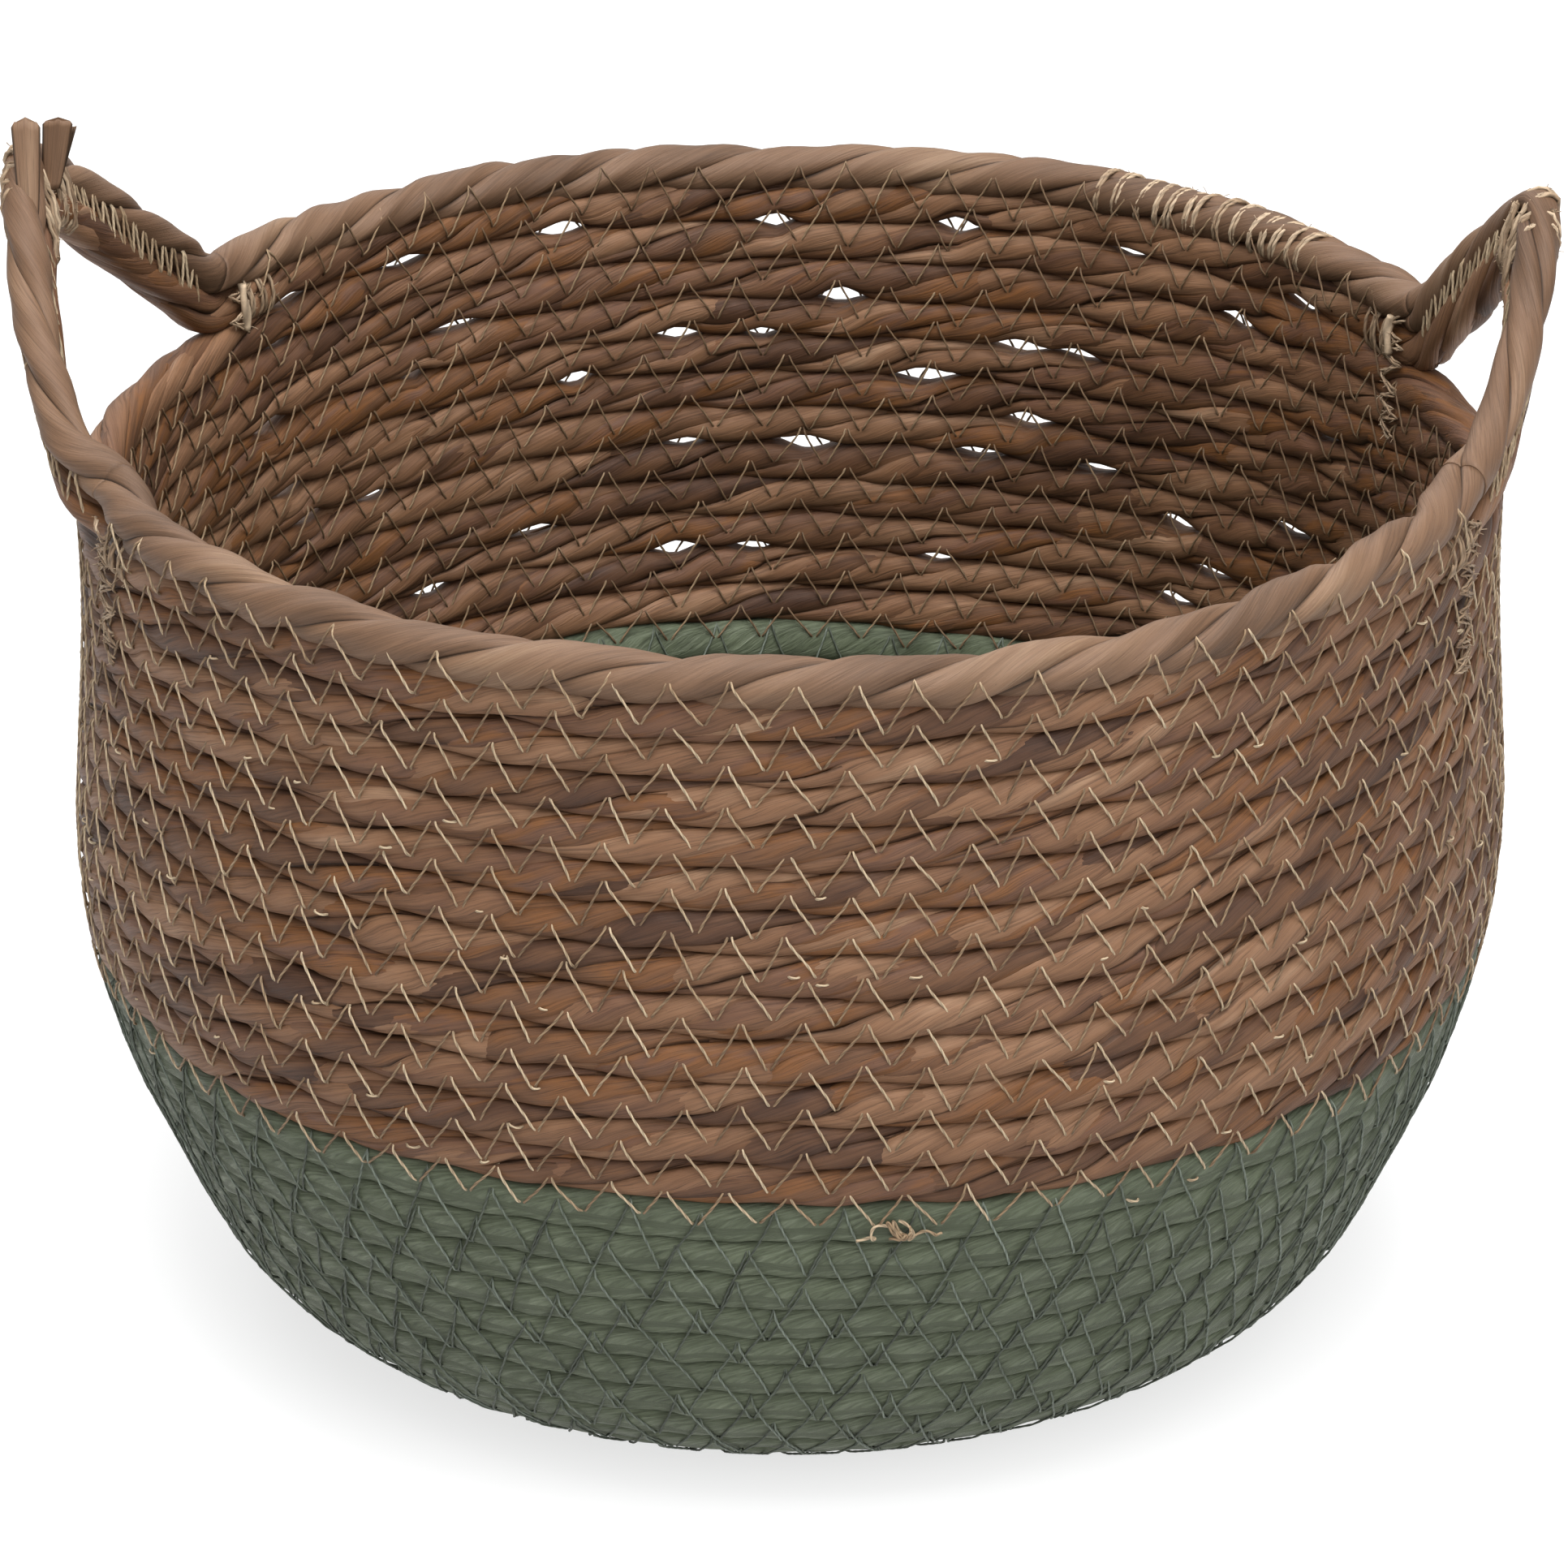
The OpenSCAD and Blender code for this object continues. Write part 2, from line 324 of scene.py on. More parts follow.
class Mesh:
    """Collects swept tubes and makes one piece of them, with the attributes that materials read."""

    def __init__(self):
        self.points, self.corners, self.sizes = [], [], []
        self.tint, self.grain, self.edge = [], [], []
        self.count = 0

    def tube(self, rings, tint, grain, edge, closed=False):
        """rings is (along, round, 3), grain the place on the fibre that its streaks follow, and edge the
        mask where the material paints shade.
        """
        n, m = rings.shape[:2]
        middle = n // 2
        here, there = rings[middle], rings[(middle + 1) % n]
        faces_out = np.cross(np.roll(here, -1, 0) - here, there - here)
        outside = np.sum(faces_out * (here - here.mean(0))) > 0
        index = self.count + np.arange(n * m).reshape(n, m)
        if not outside:
            index = index[:, ::-1]
        last = n if closed else n - 1
        a = index[:last]
        b = np.roll(index, -1, 0)[:last]
        quads = np.stack([a, np.roll(a, -1, 1), np.roll(b, -1, 1), b], axis=-1).reshape(-1, 4)
        self.corners.append(quads.ravel())
        self.sizes.append(np.full(len(quads), 4))
        if not closed:
            self.corners += [index[0][::-1], index[-1]]
            self.sizes.append(np.array([m, m]))
        self.points.append(rings.reshape(-1, 3))
        self.tint.append(np.broadcast_to(tint, (n, m)).ravel())
        self.edge.append(np.broadcast_to(edge, (n, m)).ravel())
        self.grain.append(np.broadcast_to(grain, (n, m, 3)).reshape(-1, 3))
        self.count += n * m

    def build(self, name, material, node=None, body="basket", bends=False):
        """Makes the piece. It rides on its body, or with bends it is left free of any body, its place baked
        into its points.
        """
        mesh = bpy.data.meshes.new(name)
        corners = np.concatenate(self.corners).astype(np.int32)
        sizes = np.concatenate(self.sizes)
        mesh.vertices.add(self.count)
        mesh.vertices.foreach_set("co", (np.concatenate(self.points) * MM).astype(np.float32).ravel())
        mesh.loops.add(len(corners))
        mesh.loops.foreach_set("vertex_index", corners)
        mesh.polygons.add(len(sizes))
        starts = np.concatenate([[0], np.cumsum(sizes)[:-1]]).astype(np.int32)
        mesh.polygons.foreach_set("loop_start", starts)
        mesh.polygons.foreach_set("use_smooth", sizes == 4)
        mesh.update(calc_edges=True)
        for label, values in (("tint", self.tint), ("edge", self.edge)):
            attribute = mesh.attributes.new(label, "FLOAT", "POINT")
            attribute.data.foreach_set("value", np.concatenate(values).astype(np.float32))
        attribute = mesh.attributes.new("grain", "FLOAT_VECTOR", "POINT")
        attribute.data.foreach_set("vector", np.concatenate(self.grain).astype(np.float32).ravel())
        mesh.materials.append(material)
        piece = bpy.data.objects.new(name, mesh)
        bpy.context.scene.collection.objects.link(piece)
        if bends:
            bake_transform(piece)
        else:
            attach(piece, body)
        if node:
            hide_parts(node)


def squared(x, power):
    """A sine or cosine bent so that a section turns squarer."""
    return np.sign(x) * np.abs(x) ** power


def smooth(x):
    x = np.clip(x, 0, 1)
    return x * x * (3 - 2 * x)


def ripple(rng, s, height, short, long):
    """A random wave along s, from three sines."""
    wave = 0.0
    for _ in range(3):
        wave = wave + np.sin(TURN * s / rng.uniform(short, long) + rng.uniform(0, TURN))
    return height * wave / 1.7


# Places across a leaf, over its top and back under it
LEAF_TOP = np.linspace(-1, 1, 9)
LEAF_UNDER = np.array([0.8, 0.0, -0.8])
LEAF_X = np.concatenate([LEAF_TOP, LEAF_UNDER])[None, :]
LEAF_IS_TOP = np.concatenate([np.ones(len(LEAF_TOP)), np.zeros(len(LEAF_UNDER))])[None, :]
LEAF_SQUARE = 0.82  # power that squares a leaf rope's section a little
LEAF_FALL = 2.6  # power of a leaf's fall from crown to edge
UNDERSIDE = -0.45  # of a leaf, below the core's surface
RIDGE = 0.09  # height of the long ridges on a leaf


class Core:
    """Half the width, out and up, of what the leaves are laid on."""

    def __init__(self, out, up):
        self.out, self.up = out, up
        self.round = (out + up) / 2


def from_tip(share, ends):
    """Goes from share at a leaf's tips to one along its middle."""
    return share + (1 - share) * ends


def leaf(mesh, course, rng, core, start, length, phase, lay, width, lift, crown, tint, step=2.4, taper=16):
    """One leaf wound round a core: crowned, ridged, and narrow at both ends."""
    rings = max(8, int(length / step))
    t = np.linspace(0, 1, rings)[:, None]
    s = start + t * length
    ends = smooth(np.minimum(t, 1 - t) * length / taper)
    middle = phase + TURN * s / lay + ripple(rng, s, 0.10, 50, 140)
    breadth = width / 2 / core.round * from_tip(0.2, ends) * (1 + ripple(rng, s, 0.08, 25, 70))
    angle = middle + breadth * LEAF_X
    fall = 1 - np.abs(LEAF_X) ** LEAF_FALL
    ridges = RIDGE * np.cos(rng.uniform(4, 8) * LEAF_X + rng.uniform(0, TURN)) * fall
    swell = crown * (1 + ripple(rng, s, 0.14, 18, 60))
    top = from_tip(0.25, ends) * swell * fall + ridges
    height = lift * from_tip(0.35, ends) + np.where(LEAF_IS_TOP > 0, top, UNDERSIDE)
    out, up = squared(np.cos(angle), LEAF_SQUARE), squared(np.sin(angle), LEAF_SQUARE)
    rings_at = course.place(s, (core.out + height) * out, (core.up + height) * up)
    across = LEAF_X * width / 2
    grain = vectors(s, across, rng.uniform(0, UNLIKE) + 0 * s)
    # edge rises towards the leaf's sides, where the material paints shade along its edges and overlaps.
    mesh.tube(rings_at, tint, grain, np.broadcast_to(np.abs(LEAF_X), (rings, LEAF_X.shape[1])))


def rope_core(mesh, course, core, start, end, closed):
    """The inside of a rope, seen between its leaves, in a dark tint that is painted shade."""
    sides, step, tint, edge = 12, 3.5, 0.26, 0.8
    rings = int((end - start) / step)
    s = (start + (end - start) * np.arange(rings) / (rings if closed else rings - 1))[:, None]
    angle = round_section(sides)
    points = course.place(s, core.out * np.cos(angle) + 0 * s, core.up * np.sin(angle) + 0 * s)
    grain = vectors(s, 2 * angle, 0 * s)
    mesh.tube(points, tint, grain, edge, closed)


LEAF_LAY = (76, 98)  # length of one wind of a leaf
LEAF_REACH = (70, 170)  # length of a leaf
LEAF_OVERLAP = 22  # of one leaf on the next along the rope
FIRST_LEAF = 90  # how far before a closed rope's start a first leaf may start
LAST_LEAF = 30  # a leaf that would end this close to an open end runs to it
LEAF_COVER = 1.14  # width of all leaves, over the way round the core
SLIVER_REACH = (24, 58)
OUTER_SHARE = 0.62  # of the slivers


def seagrass_rope(mesh, course, rng, start, end, core, closed=False, overlays=0.05):
    """A rope of long twisted leaves, with slivers of leaf over them."""
    length = end - start
    lay = length / max(1, round(length / rng.uniform(*LEAF_LAY)))
    strands = 3 if rng.uniform() < 0.4 else 4
    width = TURN * core.round * LEAF_COVER / strands
    rope_core(mesh, course, Core(core.out - 0.1, core.up + 0.8), start, end, closed)
    for strand in range(strands):
        phase = TURN * (strand + rng.uniform(-0.12, 0.12)) / strands
        s = start - (rng.uniform(0, FIRST_LEAF) if closed else 2)
        stop = end if closed else end - LAST_LEAF
        while s < stop:
            reach = rng.uniform(*LEAF_REACH)
            if not closed and s + reach > end - LAST_LEAF:
                reach = end + 2 - s
            leaf(
                mesh, course, rng, core, s, reach, phase, lay,
                width * rng.uniform(0.88, 1.15), lift=rng.uniform(-0.2, 0.25), crown=rng.uniform(1.0, 1.35),
                tint=rng.uniform(0.10, 0.90),
            )
            s += reach - LEAF_OVERLAP
    for _ in range(int(length * overlays)):
        reach = min(rng.uniform(*SLIVER_REACH), length * 0.9)
        s = start + rng.uniform(0, length - reach)
        face = 0.0 if rng.uniform() < OUTER_SHARE else math.pi
        own_lay = lay * rng.uniform(0.75, 1.5)
        phase = face + rng.uniform(-0.75, 0.75) - TURN * (s + reach / 2) / own_lay
        leaf(
            mesh, course, rng, core, s, reach, phase, own_lay,
            width=rng.uniform(3.0, 6.0), lift=rng.uniform(0.5, 0.8), crown=rng.uniform(0.4, 0.65),
            tint=rng.uniform(0.12, 0.90), step=2.0, taper=reach * 0.42,
        )


PLY_SQUARE = 0.85  # power that squares a ply's section a little
PAINTED_SHADE_START = 0.84  # edge from which leaf_material paints shade
PAINTED_SHADE_AT = -0.43  # cosine round a ply of where that is, towards the crevice between the plies
PAINTED_SHADE_SLOPE = 1.2  # how fast edge grows past that place


def ply(mesh, course, rng, start, end, phase, lay, offset, wide, thick, slim=0.0, step=1.6, sides=20):
    """One strand of a two-ply cord: a broad folded leaf wound round its partner."""
    rings = int((end - start) / step)
    s = np.linspace(start, end, rings)[:, None]
    turn = phase + TURN * s / lay
    around = round_section(sides)
    slim_over = 18
    size = 1 - slim * smooth(np.minimum(s - start, end - s) / slim_over)
    fold = 0.13 * np.cos(4 * around + ripple(rng, s, 1.5, 60, 150)) + ripple(rng, s, 0.14, 20, 60)
    side = size * (wide + fold) * squared(np.sin(around), PLY_SQUARE)
    away = size * (offset + (thick + fold) * squared(np.cos(around), PLY_SQUARE))
    out = away * np.cos(turn) - side * np.sin(turn)
    up = away * np.sin(turn) + side * np.cos(turn)
    points = course.place(s, out, up)
    grain = vectors(s, side, away + rng.uniform(0, UNLIKE))
    tint = 0.5 + ripple(rng, s, 0.26, 40, 160)
    # edge grows into the crevice between the two plies, where the material paints shade.
    edge = np.clip(PAINTED_SHADE_START - PAINTED_SHADE_SLOPE * (np.cos(around) - PAINTED_SHADE_AT), 0, 1) + 0 * s
    mesh.tube(points, tint + 0 * around, grain, edge)


PAPER_SQUARE = 2 / 3.2  # power that makes the section a rounded square
PAPER_OVERLAP = 0.35  # of each turn with the next, which sewing presses it on
FLOOR_GAP = 0.45  # between the rope and the floor
CRINKLES, CRINKLE_HEIGHT = 7, 0.11
CRINKLE_LAY = (55, 95)  # length of one wind of a crinkle
CRINKLE_RIBS = (4, 12)  # its ribs round the rope, from and below
LUMPS, LUMP_HEIGHT = 4, 0.10
LUMP_REACH = (9, 40)
SMALL_TURN = 24  # from here to the middle a rope needs fewer sides


def paper_rope(mesh, turn, rng):
    """One turn of twisted paper, with slanting crinkles, flat on the floor."""
    course = Turn(turn)
    sides = 32 if turn < SMALL_TURN else 24
    rings = max(40, int(course.length / 1.5))
    s = (np.arange(rings) * course.length / rings)[:, None]
    around = round_section(sides)
    girth = TURN * 4.2
    crinkle = 0.0
    for _ in range(CRINKLES):
        twists = round(course.length / rng.uniform(*CRINKLE_LAY))
        ribs = int(rng.integers(*CRINKLE_RIBS))
        crinkle = crinkle + np.sin(
            ribs * around - ribs * TURN * twists * s / course.length + rng.uniform(0, TURN)
        ) / ribs**0.5
    lumps = 0.0
    for _ in range(LUMPS):
        lumps = lumps + np.sin(
            TURN * round(course.length / rng.uniform(*LUMP_REACH)) * s / course.length
            + int(rng.integers(-1, 2)) * around + rng.uniform(0, TURN)
        )
    bulge = CRINKLE_HEIGHT * crinkle + LUMP_HEIGHT * lumps
    cos, sin = np.cos(around), np.sin(around)
    out = (HALF_THICK - 0.15 + bulge) * squared(cos, PAPER_SQUARE)
    up = (PITCH / 2 + PAPER_OVERLAP + bulge) * squared(sin, PAPER_SQUARE)
    points = course.place(s, out, up)
    points[..., 2] = np.maximum(points[..., 2], FLOOR_GAP)
    grain = vectors(s, around / TURN * girth, rng.uniform(0, UNLIKE) + 0 * s)
    # edge grows towards the top and bottom of the section, where the material paints shade into the grooves
    # between turns.
    mesh.tube(points, rng.uniform(0.35, 0.65) + 0.12 * crinkle, grain, np.abs(sin) ** 6 + 0 * s, True)


THREAD_STAND = (1, 1, 0.2)  # turns a thread's place into the way its section faces
LOBE = 0.16  # height of a thread's plies, as a share of its radius
TINY = 1e-9  # added to a length before dividing by it


def thread(mesh, path, radius, tint, rng, twist=2.6, sides=8, closed=False, facing=None):
    """A thread along a path of points: two lobes that wind round each other."""
    ahead = np.gradient(path, axis=0)
    if closed:
        ahead = np.roll(path, -1, 0) - np.roll(path, 1, 0)
    ahead /= np.linalg.norm(ahead, axis=1)[:, None] + TINY
    outward = path * THREAD_STAND if facing is None else np.broadcast_to(facing, path.shape)
    one = outward - ahead * np.sum(outward * ahead, axis=1)[:, None]
    one /= np.linalg.norm(one, axis=1)[:, None] + TINY
    two = np.cross(ahead, one)
    gaps = np.linalg.norm(np.diff(path, axis=0), axis=1)
    along = np.concatenate([[0], np.cumsum(gaps)])[:, None]
    around = round_section(sides)
    lobes = np.cos(2 * (around - TURN * along / (2 * twist)))
    r = radius * (1 + LOBE * lobes)
    rings = path[:, None] + (r * np.cos(around))[..., None] * one[:, None]
    rings = rings + (r * np.sin(around))[..., None] * two[:, None]
    grain = vectors(along, around, rng.uniform(0, UNLIKE) + 0 * along)
    # edge is high between the plies, where the material paints shade.
    mesh.tube(rings, tint, grain, 0.5 - 0.5 * lobes, closed)


# ---- the sewing ----

TIP_SHIFT = 0.13  # how far a tip may be off along the row, in legs
TIP_STRAY = 0.55  # how far a tip may be off across the row
TIP_FLAT = 0.035  # how much of a leg goes into the short flat at its tip
DIP = 1.5  # how deep a tip sinks into the rope
DIP_REACH = 0.9
FLOOR_CLEAR = 0.05  # between a stitch and the floor


def flat_tips(t):
    """Slows the sideways move at each end of a leg, so that a tip is a short flat."""
    return t - TIP_FLAT * np.sin(TURN * t)


def zigzag(mesh, rng, groove, stray, period, reach, height, radius, tint, samples, start=0.0, end=360.0):
    """A row of stitches over a groove, on one face. reach is how far each tip is from the groove, stray
    scales how far it may be off, and tint has a tone for rising and for falling legs; a darker tone on
    rising legs is painted shade."""
    arc = math.radians(end - start)
    closed = end - start == 360.0
    around = arc * radius_at(groove)
    count = 2 * max(3, round(around / period))
    corner = np.arange(count + 1)
    s = corner / count + rng.uniform(-TIP_SHIFT, TIP_SHIFT, count + 1) / count
    v = np.where(corner % 2 == 0, -1.0, 1.0) * reach + rng.uniform(-TIP_STRAY, TIP_STRAY, count + 1) * stray
    if closed:
        s[-1], v[-1] = 1 + s[0], v[0]
    t = np.linspace(0, 1, samples, endpoint=False)[None, :]
    theta = math.radians(start) + arc * (s[:-1, None] + np.diff(s)[:, None] * flat_tips(t))
    rise = v[:-1, None] + np.diff(v)[:, None] * t
    near_tip = np.minimum(t, 1 - t) * abs(reach) * 2
    dip = np.exp(-((near_tip / DIP_REACH) ** 2)) * DIP
    face = math.copysign(1, height)
    out = height - face * dip + 0 * rise
    path = wall(theta, groove - rise / PITCH, out).reshape(-1, 3)
    path[:, 2] = np.maximum(path[:, 2], radius + FLOOR_CLEAR)
    leg = np.where(corner[:-1] % 2 == 0, tint[0], tint[1])[:, None] + rng.uniform(-0.1, 0.1, (count, 1))
    thread(mesh, path, radius, (leg + 0 * t).reshape(-1, 1), rng, closed=closed)


# ---- materials ----


def linear(level):
    """The linear value of a screen value from 0 to 255."""
    level = level / 255
    return level / 12.92 if level <= 0.04045 else ((level + 0.055) / 1.055) ** 2.4


def colour(red, green, blue):
    return (linear(red), linear(green), linear(blue), 1.0)


class Shader:
    """A node material, with short calls for its nodes."""

    def __init__(self, name, **sockets):
        self.material = bpy.data.materials.new(name)
        self.material.use_nodes = True
        self.nodes = self.material.node_tree.nodes
        self.links = self.material.node_tree.links
        self.surface = self.nodes["Principled BSDF"]
        for socket, value in sockets.items():
            self.surface.inputs[socket.replace("_", " ")].default_value = value

    def put(self, target, value):
        if isinstance(value, bpy.types.NodeSocket):
            self.links.new(value, target)
        else:
            target.default_value = value

    def node(self, kind, inputs, **settings):
        """Adds a node, with its settings and what goes into it."""
        node = self.nodes.new("ShaderNode" + kind)
        for name, value in settings.items():
            setattr(node, name, value)
        for socket, value in inputs.items():
            self.put(node.inputs[socket], value)
        return node

    def attribute(self, name, output="Fac"):
        return self.node("Attribute", {}, attribute_name=name).outputs[output]

    def math(self, operation, a, b, clamp=False):
        return self.node("Math", {0: a, 1: b}, operation=operation, use_clamp=clamp).outputs[0]

    def noise(self, vector, pace, detail=3.0, roughness=0.55):
        """Noise that changes at its own pace along each of a vector's three parts."""
        paced = self.node("VectorMath", {0: vector, 1: pace}, operation="MULTIPLY").outputs[0]
        inputs = {"Vector": paced, "Scale": 1.0, "Detail": detail, "Roughness": roughness}
        return self.node("TexNoise", inputs).outputs["Fac"]

    def ramp(self, value, stops):
        node = self.node("ValToRGB", {0: value})
        elements = node.color_ramp.elements
        while len(elements) < len(stops):
            elements.new(1.0)
        for element, (place, tone) in zip(elements, stops):
            element.position = place
            element.color = tone
        return node.outputs[0]

    def levels(self, value, *stops):
        """A ramp of greys."""
        return self.ramp(value, [(place, (level, level, level, 1.0)) for place, level in stops])

    def shade(self, tone, value, *stops):
        """Multiplies a tone by a ramp of greys."""
        inputs = {0: 1.0, 6: tone, 7: self.levels(value, *stops)}
        return self.node("Mix", inputs, data_type="RGBA", blend_type="MULTIPLY").outputs[2]

    def finish(self, tone, roughness, height, depth):
        bump = self.node("Bump", {"Strength": 0.6, "Distance": depth * MM, "Height": height})
        self.put(self.surface.inputs["Base Color"], tone)
        self.put(self.surface.inputs["Roughness"], roughness)
        self.links.new(bump.outputs[0], self.surface.inputs["Normal"])
        return self.material


# A noise's three numbers are its pace along the fibre, across it and from fibre to fibre. A ramp's pairs are
# a value and the tone or grey that it gets.


def leaf_material(name, stops, painted_edge_shade, lines):
    """Dry leaf: its tone differs leaf by leaf, with fine lengthwise streaks, and painted shade along leaf
    edges and in crevices, where edge is high.
    """
    shader = Shader(name, Specular_IOR_Level=0.30)
    grain = shader.attribute("grain", "Vector")
    drift = shader.noise(grain, (0.05, 0.35, 1.7))
    streak = shader.noise(grain, (0.05, 2.9, 3.1), 4.0, 0.6)
    hair = shader.noise(grain, (0.10, 9.5, 5.3), 3.0, 0.6)
    blotch = shader.noise(grain, (0.9, 1.3, 2.3), 4.0, 0.7)
    drift = shader.math("MULTIPLY", shader.math("SUBTRACT", drift, 0.5), 0.7)
    body = shader.ramp(shader.math("ADD", shader.attribute("tint"), drift, True), stops)
    body = shader.shade(body, streak, (0.30, 1 - 1.3 * lines), (0.50, 1.0), (0.74, 1.10))
    body = shader.shade(body, hair, (0.34, 1 - 1.7 * lines), (0.44, 1.0), (0.70, 1.05))
    body = shader.shade(body, blotch, (0.66, 1.0), (0.76, 0.66))
    # Painted shade where edge is high: along the edges of leaves, where one overlaps the next, and in the
    # crevice between a cord's plies.
    body = shader.shade(body, shader.attribute("edge"), (PAINTED_SHADE_START, 1.0), (1.0, painted_edge_shade))
    rough = shader.levels(streak, (0.3, 0.70), (0.7, 0.50))
    height = shader.math("ADD", streak, shader.math("MULTIPLY", hair, 0.6))
    return shader.finish(body, rough, height, 1.2 * lines)


CREASE_SLANT = 19  # degrees between the paper's creases and the rope


def paper_material():
    """Sage paper: slanting creases and streaks that follow the twist, and painted shade towards the grooves
    between turns.
    """
    shader = Shader("sage_paper", Specular_IOR_Level=0.32)
    grain = shader.attribute("grain", "Vector")
    inputs = {"Vector": grain, "Angle": math.radians(-CREASE_SLANT)}
    slanting = shader.node("VectorRotate", inputs, rotation_type="Z_AXIS").outputs[0]
    streak = shader.noise(slanting, (0.13, 1.5, 1.9), 5.0, 0.62)
    crease = shader.noise(slanting, (0.30, 3.6, 2.7), 4.0, 0.6)
    drift = shader.noise(grain, (0.04, 0.06, 0.9), 2.0)
    body = shader.ramp(streak, (
        (0.28, colour(57, 63, 46)), (0.45, colour(72, 79, 60)), (0.58, colour(84, 91, 72)),
        (0.75, colour(101, 108, 89)),
    ))
    body = shader.shade(body, crease, (0.34, 0.70), (0.48, 1.0), (0.72, 1.12))
    body = shader.shade(body, drift, (0.3, 0.86), (0.7, 1.10))
    # Painted shade where edge is high, in the grooves between turns.
    body = shader.shade(body, shader.attribute("edge"), (0.4, 1.0), (1.0, 0.72))
    rough = shader.levels(streak, (0.3, 0.66), (0.7, 0.5))
    return shader.finish(body, rough, shader.math("ADD", streak, crease), 0.5)


def thread_material(name, dark, mid, light):
    """Twisted thread, with painted light on its plies and painted shade between them."""
    shader = Shader(name, Specular_IOR_Level=0.35)
    grain = shader.attribute("grain", "Vector")
    fuzz = shader.noise(grain, (1.3, 1.1, 1.0), 4.0, 0.7)
    drift = shader.noise(grain, (0.03, 0.0, 1.0), 2.0)
    tone = shader.math("ADD", shader.attribute("tint"), shader.math("SUBTRACT", drift, 0.5), True)
    body = shader.ramp(tone, ((0.15, dark), (0.5, mid), (0.85, light)))
    # Painted light on the plies and painted shade between them, by edge.
    body = shader.shade(body, shader.attribute("edge"), (0.25, 1.05), (0.95, 0.55))
    body = shader.shade(body, fuzz, (0.3, 0.82), (0.7, 1.12))
    return shader.finish(body, shader.levels(fuzz, (0.3, 0.75), (0.7, 0.55)), fuzz, 0.15)


SEAGRASS = leaf_material("seagrass_leaf", (
    (0.00, colour(57, 35, 22)), (0.14, colour(75, 49, 32)), (0.30, colour(93, 63, 41)),
    (0.42, colour(106, 68, 36)), (0.50, colour(92, 63, 46)), (0.62, colour(102, 71, 49)),
    (0.78, colour(113, 81, 57)), (0.92, colour(122, 90, 66)), (1.00, colour(134, 104, 80)),
), painted_edge_shade=0.46, lines=0.28)
RIM_LEAF = leaf_material("rim_leaf", (
    (0.00, colour(66, 46, 31)), (0.20, colour(82, 60, 43)), (0.50, colour(98, 73, 54)),
    (0.75, colour(107, 82, 62)), (1.00, colour(122, 98, 77)),
), painted_edge_shade=0.30, lines=0.17)
PAPER = paper_material()
TAN_THREAD = thread_material("tan_thread", colour(100, 78, 56), colour(140, 117, 90), colour(182, 163, 135))
SAGE_THREAD = thread_material("sage_thread", colour(58, 63, 53), colour(83, 90, 78), colour(112, 120, 109))
JUTE = thread_material("jute_twine", colour(98, 75, 57), colour(138, 115, 91), colour(172, 151, 126))

# ---- the ropes ----

ROPE_CORE = Core(3.0, 3.8)
CORD_CORE = Core(2.9, 3.1)
TUCK = 1  # degrees that the first turn goes on past a root
LOWER_TUCK = 4  # degrees that a lower cord goes on into the wall
RIM_LAY = 58.0
PLY = dict(offset=1.9, wide=4.2, thick=3.1)
HANDLE_SLIM = 0.14  # how much slimmer the upper cords are than the rim


def seagrass_turns():
    for turn in range(2, SEAGRASS_TURNS + 1):
        name = f"seagrass_rope_{turn:02d}"
        rng = seeded(name)
        mesh = Mesh()
        course = Turn(turn)
        seagrass_rope(mesh, course, rng, 0.0, course.length, ROPE_CORE, closed=True)
        mesh.build(name, SEAGRASS, f"seagrass_turn_{turn:02d}")


def first_turn_and_lower_cords():
    stretches = (
        ("first_rope_front", LEFT_FRONT - TUCK, 360 + RIGHT_FRONT + TUCK, "seagrass_turn_01_front",
         "basket"),
        ("first_rope_back", RIGHT_BACK - TUCK, LEFT_BACK + TUCK, "seagrass_turn_01_back", "basket"),
        ("right_lower_rope", RIGHT_FRONT - LOWER_TUCK, RIGHT_BACK + LOWER_TUCK, "right_handle_lower_cord",
         "right_handle"),
        ("left_lower_rope", LEFT_BACK - LOWER_TUCK, LEFT_FRONT + LOWER_TUCK, "left_handle_lower_cord",
         "left_handle"),
    )
    for name, start, end, node, body in stretches:
        rng = seeded(name)
        mesh = Mesh()
        first, last = FIRST_LOOP.span(start, end)
        bends = body != "basket"
        seagrass_rope(mesh, FIRST_LOOP, rng, first, last, CORD_CORE if bends else ROPE_CORE)
        mesh.build(name, SEAGRASS, node, body, bends)


def rim_and_upper_cords():
    """Two broad plies, cut at the roots into rim and handle stretches."""
    stretches = (
        ("rim_front", LEFT_FRONT, 360 + RIGHT_FRONT, "rim_cord_front", "basket"),
        ("right_upper_cord", 360 + RIGHT_FRONT, 360 + RIGHT_BACK, "right_handle_upper_cord", "right_handle"),
        ("rim_back", RIGHT_BACK, LEFT_BACK, "rim_cord_back", "basket"),
        ("left_upper_cord", LEFT_BACK, LEFT_FRONT, "left_handle_upper_cord", "left_handle"),
    )
    lay = RIM_LOOP.length / round(RIM_LOOP.length / RIM_LAY)
    for name, start, end, node, body in stretches:
        mesh = Mesh()
        first, last = RIM_LOOP.span(start, end)
        bends = body != "basket"
        for half in (0, 1):
            ply(
                mesh, RIM_LOOP, seeded(f"ply {half}"), first, last, math.pi * half, lay,
                **PLY, slim=HANDLE_SLIM if bends else 0.0,
            )
        mesh.build(name, RIM_LEAF, node, body, bends)


def paper_turns():
    for turn in range(SEAGRASS_TURNS + 1, TURNS + 1):
        number = TURNS + 1 - turn  # the CAD counts paper turns from the middle of the base
        name = f"paper_rope_{number:02d}"
        mesh = Mesh()
        paper_rope(mesh, turn, seeded(name))
        mesh.build(name, PAPER, f"paper_turn_{number:02d}")


